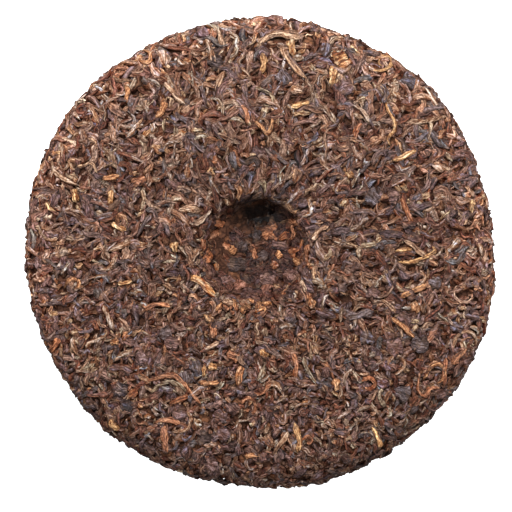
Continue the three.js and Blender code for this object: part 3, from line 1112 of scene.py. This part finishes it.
seenLeaves = [
    # flat dark patches of the lower half, under the rest
    ("leafFlakes", 5.6, "plum", (136, 355), (149, 361)),
    ("leafFlakes", 5.0, "plum", (165, 345), (180, 341)),
    ("leafFlakes", 4.4, "slate", (193, 361), (200, 376)),
    ("leafFlakes", 3.6, "slate", (183, 371), (190, 385)),
    ("leafFlakes", 4.8, "slate", (115, 388), (128, 392)),
    ("leafFlakes", 4.4, "black", (121, 403), (133, 408)),
    ("leafFlakes", 6.0, "plum", (172, 411), (187, 415)),
    ("leafFlakes", 4.6, "plum", (213, 414), (226, 419)),
    ("leafFlakes", 5.0, "plum", (217, 430), (230, 437)),
    ("leafFlakes", 4.8, "black", (198, 436), (212, 440)),
    ("leafFlakes", 4.4, "plum", (204, 462), (217, 467)),
    ("leafFlakes", 4.6, "plum", (226, 404), (238, 412)),
    ("blackTwists", 2.6, "plum", (106, 368), (119, 367), (133, 371)),
    ("leafFlakes", 6.0, "plum", (387, 349), (403, 345)),
    ("leafFlakes", 5.6, "slate", (412, 342), (428, 348)),
    ("leafFlakes", 5.0, "slate", (361, 336), (375, 340)),
    ("leafFlakes", 5.4, "slate", (395, 390), (410, 396)),
    ("blackTwists", 3.0, "slate", (344, 318), (358, 315), (374, 312)),
    ("leafFlakes", 4.6, "plum", (398, 315), (411, 320)),
    ("leafFlakes", 4.4, "plum", (366, 290), (380, 296)),
    ("leafFlakes", 4.2, "slate", (451, 325), (463, 330)),
    ("leafFlakes", 4.4, "slate", (429, 280), (441, 285)),
    # the top
    ("fibreBundles", 3.2, "tan", (257, 47), (266, 38), (280, 34), (303, 38)),
    ("fibreBundles", 2.8, "tan", (281, 44), (286, 56), (295, 68), (307, 78)),
    ("tanTwists", 2.8, "gold", (290, 40), (294, 56)),
    ("leafFlakes", 5.2, "slate", (277, 73), (291, 84)),
    ("leafFlakes", 3.8, "slate", (326, 42), (325, 56)),
    ("tanTwists", 2.2, "gold", (291, 108), (300, 105), (310, 101)),
    ("leafFlakes", 4.0, "tan", (290, 88), (303, 92)),
    ("tanTwists", 2.4, "tan", (205, 37), (211, 50), (214, 67)),
    ("tanTwists", 2.4, "tan", (217, 28), (221, 38), (223, 47)),
    ("tanTwists", 2.6, "gold", (262, 52), (264, 62), (261, 73)),
    ("tanTwists", 2.4, "tan", (225, 70), (220, 80), (215, 91)),
    ("curledStems", 1.7, "olive", (252, 86), (264, 91), (273, 97), (270, 104), (260, 104)),
    ("tanTwists", 2.2, "pale", (216, 110), (224, 104), (232, 102), (239, 106)),
    ("curledStems", 1.8, "orange", (255, 121), (262, 128), (267, 134), (271, 127), (273, 117)),
    ("tanTwists", 1.7, "rust", (240, 104), (246, 112), (248, 125)),
    ("leafFlakes", 5.0, "black", (208, 58), (222, 64)),
    # the upper right
    ("curledStems", 1.5, "gold", (371, 69), (383, 70), (391, 65), (388, 58), (380, 58), (379, 64), (385, 65)),
    ("leafFlakes", 4.6, "gold", (334, 61), (347, 55)),
    ("tanTwists", 3.0, "gold", (334, 64), (333, 73), (332, 85)),
    ("russetTwists", 2.6, "orange", (338, 68), (346, 64), (353, 60)),
    ("curledStems", 1.6, "gold", (386, 102), (388, 111), (394, 121), (394, 131), (388, 138), (391, 146)),
    ("tanTwists", 1.8, "tan", (392, 88), (388, 95), (385, 103)),
    ("tanTwists", 1.7, "pale", (424, 87), (431, 98), (440, 110)),
    ("fibreBundles", 1.9, "tan", (406, 122), (425, 121), (448, 116)),
    ("tanTwists", 1.6, "pale", (409, 98), (416, 92), (425, 90), (431, 86)),
    ("russetTwists", 2.0, "rust", (354, 139), (357, 129), (362, 123)),
    ("fibreBundles", 2.2, "gold", (392, 160), (402, 158), (410, 153), (419, 150)),
    ("leafFlakes", 3.6, "tan", (433, 165), (446, 170)),
    ("goldBuds", 2.6, "gold", (347, 172), (353, 177)),
    ("leafFlakes", 6.0, "plum", (338, 90), (353, 85)),
    ("leafFlakes", 4.6, "slate", (401, 79), (415, 84)),
    ("blackTwists", 2.2, "slate", (380, 84), (386, 92), (383, 103)),
    ("russetTwists", 2.0, "rust", (402, 197), (406, 210), (413, 223)),
    ("leafFlakes", 6.0, "slate", (366, 193), (378, 203)),
    ("leafFlakes", 5.4, "plum", (388, 198), (399, 195)),
    # the right
    ("curledStems", 1.8, "gold", (398, 262), (411, 262), (425, 257), (435, 251), (432, 245)),
    ("tanTwists", 1.9, "tan", (404, 240), (413, 246), (420, 253), (429, 258)),
    ("tanTwists", 1.7, "gold", (395, 251), (404, 250), (413, 248)),
    ("tanTwists", 2.6, "pale", (447, 251), (453, 246), (460, 239)),
    ("russetTwists", 2.2, "orange", (400, 298), (411, 292), (421, 288), (427, 283)),
    ("curledStems", 1.6, "tan", (413, 289), (420, 285), (425, 277), (419, 271)),
    ("goldBuds", 2.4, "tan", (478, 243), (483, 257)),
    ("tanTwists", 1.8, "orange", (391, 317), (400, 324), (408, 332), (416, 339)),
    ("tanTwists", 1.5, "tan", (381, 299), (390, 306), (397, 315)),
    ("curledStems", 1.8, "tan", (452, 351), (455, 340), (461, 333), (469, 332), (475, 338), (477, 347)),
    ("fibreBundles", 2.6, "rust", (451, 364), (459, 355), (467, 347)),
    ("curledStems", 1.6, "orange", (424, 380), (430, 369), (438, 364), (444, 370), (442, 380), (436, 384)),
    ("curledStems", 1.5, "rust", (420, 372), (418, 390), (426, 396), (430, 388), (441, 388)),
    ("tanTwists", 1.6, "rust", (446, 357), (444, 372), (445, 387)),
    ("curledStems", 1.5, "plum", (424, 402), (431, 410), (440, 406), (445, 397)),
    ("curledStems", 2.0, "ember", (361, 381), (369, 378), (375, 384), (368, 390), (362, 386)),
    ("curledStems", 1.6, "tan", (389, 367), (391, 358), (400, 357), (405, 364), (400, 372), (394, 375)),
    ("goldBuds", 3.4, "orange", (413, 303), (419, 312)),
    ("tanTwists", 2.1, "gold", (372, 427), (376, 434), (381, 447)),
    ("curledStems", 1.7, "olive", (384, 387), (379, 396), (385, 407)),
    ("goldBuds", 3.0, "orange", (335, 379), (337, 390)),
    # the bottom
    ("goldBuds", 2.6, "rust", (213, 323), (214, 338)),
    ("tanTwists", 1.6, "tan", (205, 350), (212, 346), (219, 342)),
    ("goldBuds", 2.8, "gold", (260, 350), (267, 357)),
    ("leafFlakes", 3.4, "rust", (227, 354), (239, 358)),
    ("goldBuds", 2.8, "orange", (238, 386), (239, 376), (242, 366)),
    ("goldBuds", 2.6, "gold", (209, 366), (217, 367)),
    ("goldBuds", 1.6, "gold", (203, 365), (204, 377)),
    ("tanTwists", 1.7, "olive", (257, 381), (262, 374), (265, 364)),
    ("tanTwists", 2.1, "tan", (268, 383), (277, 385), (281, 392)),
    ("curledStems", 1.6, "rust", (253, 391), (258, 394), (264, 392), (268, 386), (273, 382)),
    ("tanTwists", 1.5, "olive", (304, 357), (306, 366), (311, 376), (318, 385)),
    ("russetTwists", 2.0, "rust", (291, 349), (295, 358), (296, 368), (294, 379)),
    ("tanTwists", 2.3, "gold", (294, 423), (298, 434), (300, 443), (297, 453)),
    ("tanTwists", 1.6, "tan", (274, 457), (277, 447), (283, 440), (289, 431)),
    ("curledStems", 1.5, "ember", (301, 441), (307, 436), (312, 440), (307, 444)),
    ("tanTwists", 1.9, "orange", (245, 458), (252, 455), (261, 456)),
    ("curledStems", 1.6, "rust", (241, 404), (247, 398), (254, 401), (255, 411), (249, 415)),
    ("tanTwists", 1.8, "orange", (198, 382), (208, 383), (220, 382)),
    ("curledStems", 2.2, "rust", (143, 384), (155, 379), (172, 375), (183, 383), (192, 394), (202, 405)),
    ("curledStems", 1.9, "olive", (152, 395), (157, 387), (167, 382), (178, 384), (187, 392)),
    ("russetTwists", 2.2, "ember", (169, 404), (178, 400), (189, 396)),
    ("tanTwists", 2.1, "rust", (154, 423), (163, 420), (172, 420), (181, 425)),
    ("tanTwists", 2.4, "rust", (164, 425), (165, 440), (166, 455)),
    ("curledStems", 1.9, "tan", (187, 410), (191, 419), (188, 428), (180, 431), (171, 433)),
    ("goldBuds", 2.6, "gold", (110, 419), (118, 431)),
    # the left
    ("goldBuds", 2.6, "ember", (129, 396), (137, 391)),
    ("tanTwists", 1.9, "tan", (73, 337), (74, 346), (79, 356)),
    ("russetTwists", 2.4, "ember", (50, 353), (55, 346), (59, 337)),
    ("tanTwists", 2.4, "tan", (103, 305), (108, 316), (113, 330)),
    ("russetTwists", 1.9, "rust", (144, 310), (152, 306), (160, 304), (171, 307)),
    ("tanTwists", 1.7, "tan", (85, 349), (90, 342), (98, 340), (105, 337)),
    ("leafFlakes", 5.0, "slate", (159, 335), (171, 332)),
    ("goldBuds", 2.6, "orange", (111, 343), (118, 341)),
    ("tanTwists", 1.8, "tan", (50, 159), (54, 171), (64, 179), (80, 186)),
    ("goldBuds", 2.2, "orange", (102, 178), (111, 178), (120, 175)),
    ("curledStems", 1.5, "tan", (77, 167), (86, 165), (92, 163), (97, 173)),
    ("leafFlakes", 3.2, "rust", (131, 184), (147, 178)),
    ("goldBuds", 2.6, "gold", (74, 189), (76, 202)),
    ("goldBuds", 2.2, "gold", (112, 190), (110, 204)),
    ("curledStems", 1.6, "tan", (38, 226), (42, 235), (50, 240), (61, 238)),
    ("fibreBundles", 2.2, "tan", (108, 251), (118, 247), (128, 242), (131, 236)),
    ("curledStems", 1.7, "tan", (99, 269), (107, 269), (113, 263), (117, 254)),
    ("tanTwists", 2.0, "gold", (111, 223), (119, 228), (127, 230)),
    ("tanTwists", 1.7, "gold", (118, 283), (126, 283), (132, 280)),
    ("goldBuds", 3.0, "gold", (173, 243), (175, 252)),
    ("curledStems", 1.7, "orange", (64, 288), (70, 280), (79, 281), (78, 289)),
    ("curledStems", 1.7, "gold", (111, 76), (113, 67), (121, 61), (129, 64), (128, 71)),
    ("curledStems", 1.6, "tan", (112, 76), (119, 81), (129, 80), (136, 83)),
    ("curledStems", 1.7, "orange", (142, 50), (150, 54), (149, 62), (141, 61), (139, 55)),
    ("leafFlakes", 4.6, "tan", (161, 49), (167, 67)),
    ("tanTwists", 2.6, "tan", (163, 81), (171, 90), (177, 98), (186, 105)),
    ("goldBuds", 2.6, "orange", (154, 117), (162, 112), (165, 101)),
    ("tanTwists", 1.7, "tan", (89, 104), (94, 113), (98, 124)),
    ("tanTwists", 1.6, "pale", (126, 138), (133, 132), (138, 124), (143, 117)),
    # round the dimple and in it
    ("fibreBundles", 3.0, "gold", (189, 275), (200, 282), (208, 290), (217, 297)),
    ("fibreBundles", 3.2, "tan", (178, 211), (188, 209), (202, 211)),
    ("tanTwists", 2.0, "pale", (186, 221), (197, 223), (206, 216), (212, 209)),
    ("curledStems", 1.8, "pale", (308, 199), (311, 208), (309, 214), (301, 217)),
    ("goldBuds", 2.4, "orange", (308, 293), (311, 302), (314, 308)),
    ("tanTwists", 1.9, "tan", (329, 226), (319, 231), (314, 241)),
    ("tanTwists", 2.0, "orange", (234, 184), (240, 191), (237, 199)),
    ("goldBuds", 2.4, "plum", (270, 181), (267, 197)),
    ("leafFlakes", 5.0, "plum", (222, 282), (238, 277)),
    ("leafFlakes", 5.0, "plum", (240, 289), (256, 293)),
    ("leafFlakes", 5.4, "plum", (259, 275), (275, 281)),
    ("leafFlakes", 4.6, "clay", (232, 287), (247, 281)),
    ("leafFlakes", 4.2, "clay", (262, 293), (271, 283)),
    ("leafFlakes", 5.2, "plum", (282, 272), (296, 277)),
    ("leafFlakes", 5.0, "plum", (301, 261), (306, 276)),
    ("leafFlakes", 4.2, "black", (254, 231), (258, 242)),
    ("leafFlakes", 4.4, "black", (240, 252), (247, 239)),
    ("leafFlakes", 4.2, "black", (257, 258), (269, 254)),
    ("leafFlakes", 5.2, "black", (222, 266), (236, 264), (249, 265)),
    ("leafFlakes", 3.6, "ember", (206, 262), (213, 252)),
    ("leafFlakes", 3.8, "ember", (216, 221), (227, 228)),
    ("leafFlakes", 3.6, "ember", (288, 255), (299, 248)),
    ("leafFlakes", 6.6, "rust", (261, 236), (270, 231), (279, 230)),
    ("russetTwists", 3.2, "rust", (211, 239), (217, 233), (224, 237)),
    ("russetTwists", 2.4, "rust", (218, 243), (224, 245), (230, 250)),
    ("goldBuds", 3.2, "orange", (230, 253), (236, 247)),
    ("goldBuds", 2.4, "rust", (253, 248), (256, 260)),
    ("goldBuds", 3.0, "orange", (276, 257), (282, 252)),
    ("goldBuds", 3.2, "rust", (271, 268), (277, 262)),
    ("goldBuds", 2.8, "orange", (292, 257), (299, 264)),
    ("curledStems", 2.0, "rust", (283, 236), (289, 239), (294, 233), (292, 226), (300, 223)),
    ("goldBuds", 2.6, "rust", (287, 223), (297, 221)),
    ("russetTwists", 2.6, "ember", (278, 240), (289, 233)),
    ("leafFlakes", 3.4, "plum", (269, 243), (289, 247)),
    ("goldBuds", 2.2, "orange", (217, 262), (217, 270)),
    ("goldBuds", 2.4, "rust", (283, 295), (288, 288)),
    ("russetTwists", 2.4, "rust", (202, 252), (203, 239)),
    ("tanTwists", 2.0, "tan", (192, 262), (197, 249)),
    ("russetTwists", 2.2, "rust", (305, 262), (309, 244)),
    ("russetTwists", 2.0, "ember", (299, 250), (303, 238)),
    ("tanTwists", 2.2, "tan", (316, 265), (314, 279)),
    ("tanTwists", 2.0, "tan", (302, 280), (307, 293)),
    ("fibreBundles", 2.6, "tan", (222, 300), (231, 304), (240, 305)),
    ("fibreBundles", 2.2, "tan", (241, 302), (252, 304)),
]

# heaps of small bits that stand out: kind, how many, shade, middle and reach in pixels
seenHeaps = [
    ("crumbs", 22, "rust", (236, 306), (18, 8)),
    ("goldBuds", 9, "orange", (246, 307), (22, 7)),
    ("crumbs", 10, "ember", (205, 250), (12, 14)),
    ("crumbs", 8, "rust", (308, 262), (7, 16)),
    ("crumbs", 10, "tan", (348, 336), (8, 22)),
]


# how these are laid: the first three values find their places and their curves
seenSettings = {
    "tries": 40,
    "pull": 0.7,
    "finePoints": 60,
    "widen": 1.1,
    "thick": 0.8,
    "thickMost": 1.8,
    "blunt": 5.0,
    "calm": 0.3,
    "brightSpread": 0.12,
    "heapBrightSpread": 0.2,
    "heapSpread": 0.5,
}
# the rim's leaf ends are darkened with painted shade
rimEnds = {"count": 260, "away": -1.0, "spread": 2.2, "shade": 0.65, "proud": 0.35}


def seenAt(pixels):
    # photo pixels to places on the unrolled back
    pixel = cameraSettings["cakeWide"] / cameraSettings["cakePixels"] * np.array((1, -1))
    flat = (np.array(pixels, float) - cameraSettings["aimPixel"]) * pixel
    for _ in range(seenSettings["tries"]):
        flat += seenSettings["pull"] * pixel * (pixels - seenPixels(onSurface(flat, True)))
    return flat


def smoothLine(corners, count):
    # evenly spaced points on a smooth curve through the corners, and its length
    ends = 2 * corners[[0, -1]] - corners[[1, -2]]
    padded = np.vstack([ends[:1], corners, ends[1:]])
    t = np.linspace(0, len(corners) - 1, seenSettings["finePoints"])
    part = np.minimum(t.astype(int), len(corners) - 2)
    share = (t - part)[:, None]
    a, b, c, d = (padded[part + k] for k in range(4))
    line = b + share / 2 * (c - a + share * (2 * a - 5 * b + 4 * c - d + share * (3 * (b - c) + d - a)))
    walked = lengthAlong(*line.T)
    even = np.linspace(0, walked[-1], count)
    return np.stack([np.interp(even, walked, line[:, k]) for k in (0, 1)], -1), walked[-1]


def layRim(batches, ground, top):
    # small ends of leaves stand out round the rim, darkened with painted shade
    kind = fullKind("crumbs")
    count = rimEnds["count"]
    angle = fullTurn * (np.arange(count) + rng.random(count)) / count
    away = rimS + rng.normal(rimEnds["away"], rimEnds["spread"], count)
    leaves = leafSizes(kind, flatSpots(away, angle), True)
    # painted shade on the leaf ends at the cake's edge
    leaves["colours"] *= rimEnds["shade"]
    leaves["proud"] += rimEnds["proud"]
    batches["crumbs"].append(layLeaves(kind, leaves, leafPaths(kind, leaves), True, ground, top))


def seenColours(shade, spread, count):
    colour = evened(fromScreen(*shades[shade]), tints["seenContrast"])
    return colour * np.exp(rng.normal(0, spread, (count, 2, 1)))


def laySeen(batches, ground, top):
    # the leaves that stand out are laid last, a little proud
    for name, width, shade, *pixels in seenLeaves:
        kind = fullKind(name)
        flat, length = smoothLine(seenAt(pixels), kind["rings"])
        leaves = leafSizes(kind, flat.mean(0)[None], True)
        leaves["length"][:] = length
        leaves["width"][:] = seenSettings["widen"] * width
        leaves["thick"][:] = min(seenSettings["thick"] * width, seenSettings["thickMost"])
        leaves["blunt"] = np.maximum(leaves["blunt"], seenSettings["blunt"])
        leaves["colours"][:] = seenColours(shade, seenSettings["brightSpread"], 1)
        for calmed in ("pitch", "roll", "rollTurn", "proud"):
            leaves[calmed] *= seenSettings["calm"]
        batches[name].append(layLeaves(kind, leaves, flat[None], True, ground, top))
    for name, count, shade, middle, reach in seenHeaps:
        kind = fullKind(name)
        spots = seenAt(np.array(middle) + rng.normal(0, seenSettings["heapSpread"], (count, 2)) * reach)
        leaves = leafSizes(kind, spots, True)
        leaves["colours"][:] = seenColours(shade, seenSettings["heapBrightSpread"], count)
        batches[name].append(layLeaves(kind, leaves, leafPaths(kind, leaves), True, ground, top))


core = pressedCore(coreSettings)
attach(core, "root")
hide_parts("tea_cake")
print("core:", 2 * len(core.data.polygons), "triangles")

batches = {name: [] for name in leafKinds}
ground = heapSide(batches, heap["back"], True)
layRim(batches, ground, heap["back"]["top"][1])
laySeen(batches, ground, heap["seenTop"])
heapSide(batches, heap["front"], False)

total = 0
for name, laid in batches.items():
    piece = leafPiece(name, fullKind(name), laid)
    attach(piece, "root")
    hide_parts("tea_cake")
    count = 2 * len(piece.data.polygons)
    total += count
    print(name + ":", count, "triangles")
print("leaves:", total, "triangles")


# the room: a pale floor, soft light and the camera, in metres and degrees

room = {
    "floorHalf": 9.0,
    "floorSink": 0.0003,
    "floorColour": (0.86, 0.86, 0.86, 1),
    "floorRoughness": 0.9,
    "floorGlow": 0.84,
    "keyTurn": 97.0,
    "keyRise": 58.0,
    "keyAway": 0.75,
    "keySize": 0.3,
    "keyPower": 8.2,
    "skyLight": 1.2,
    "groundLight": 0.15,
    "skyTilt": 25.0,  # of the way that the sky grows brighter, from straight up
    "skyTurn": 40.0,  # of that way round the cake, from +X
    "skyEnds": (-0.5, 0.3),  # how far that way it starts and stops growing
    "skyTint": (0.98, 1.022, 1.045),
}


def buildFloor():
    bm = bmesh.new()
    bmesh.ops.create_grid(bm, x_segments=1, y_segments=1, size=room["floorHalf"])
    bmesh.ops.translate(bm, verts=bm.verts, vec=(0, 0, -room["floorSink"]))
    mesh = bpy.data.meshes.new("floor")
    bm.to_mesh(mesh)
    bm.free()
    floor = bpy.data.objects.new("floor", mesh)
    bpy.context.scene.collection.objects.link(floor)
    plain = {"Base Color": room["floorColour"], "Roughness": room["floorRoughness"]}
    glow = {"Emission Color": (1, 1, 1, 1), "Emission Strength": room["floorGlow"]}
    mesh.materials.append(Finish("paleFloor").surface({**plain, **glow}))
    floor.visible_diffuse = False  # so that the glow stays off the cake's rim
    floor.visible_glossy = False


def buildSky():
    # soft light from above and behind, and much less from below and in front
    world = bpy.data.worlds.new("studio")
    world.use_nodes = True
    tree = world.node_tree
    background = tree.nodes["Background"]
    place = tree.nodes.new("ShaderNodeTexCoord")
    towards = tree.nodes.new("ShaderNodeVectorMath")
    towards.operation = "DOT_PRODUCT"
    tilt, turn = math.radians(room["skyTilt"]), math.radians(room["skyTurn"])
    way = (math.sin(tilt) * math.cos(turn), math.sin(tilt) * math.sin(turn), math.cos(tilt))
    towards.inputs[1].default_value = way
    slope = tree.nodes.new("ShaderNodeMapRange")
    ends = (*room["skyEnds"], room["groundLight"], room["skyLight"])
    for name, value in zip(("From Min", "From Max", "To Min", "To Max"), ends):
        slope.inputs[name].default_value = value
    tree.links.new(place.outputs["Generated"], towards.inputs[0])
    tree.links.new(towards.outputs["Value"], slope.inputs["Value"])
    tree.links.new(slope.outputs[0], background.inputs["Strength"])
    background.inputs["Color"].default_value = (*room["skyTint"], 1)
    bpy.context.scene.world = world


def buildKey():
    light = bpy.data.lights.new("key", "AREA")
    light.shape = "DISK"
    light.size = room["keySize"]
    light.energy = room["keyPower"]
    light.color = room["skyTint"]
    key = bpy.data.objects.new("key", light)
    bpy.context.scene.collection.objects.link(key)
    turn, rise = math.radians(room["keyTurn"]), math.radians(room["keyRise"])
    way = Vector((math.cos(turn) * math.cos(rise), math.sin(turn) * math.cos(rise), math.sin(rise)))
    key.location = way * room["keyAway"]
    key.rotation_euler = way.to_track_quat("Z", "Y").to_euler()


def buildCamera():
    data = bpy.data.cameras.new("camera")
    data.lens = cameraSettings["lens"]
    data.sensor_width = cameraSettings["sensor"]
    camera = bpy.data.objects.new("camera", data)
    bpy.context.scene.collection.objects.link(camera)
    spot, back, _, _ = cameraFrame()
    camera.location = Vector(spot) * mm
    camera.rotation_euler = Vector(back).to_track_quat("Z", "Y").to_euler()
    bpy.context.scene.camera = camera


buildFloor()
buildSky()
buildKey()
buildCamera()
bpy.context.scene.view_settings.view_transform = "Standard"
print("room built")
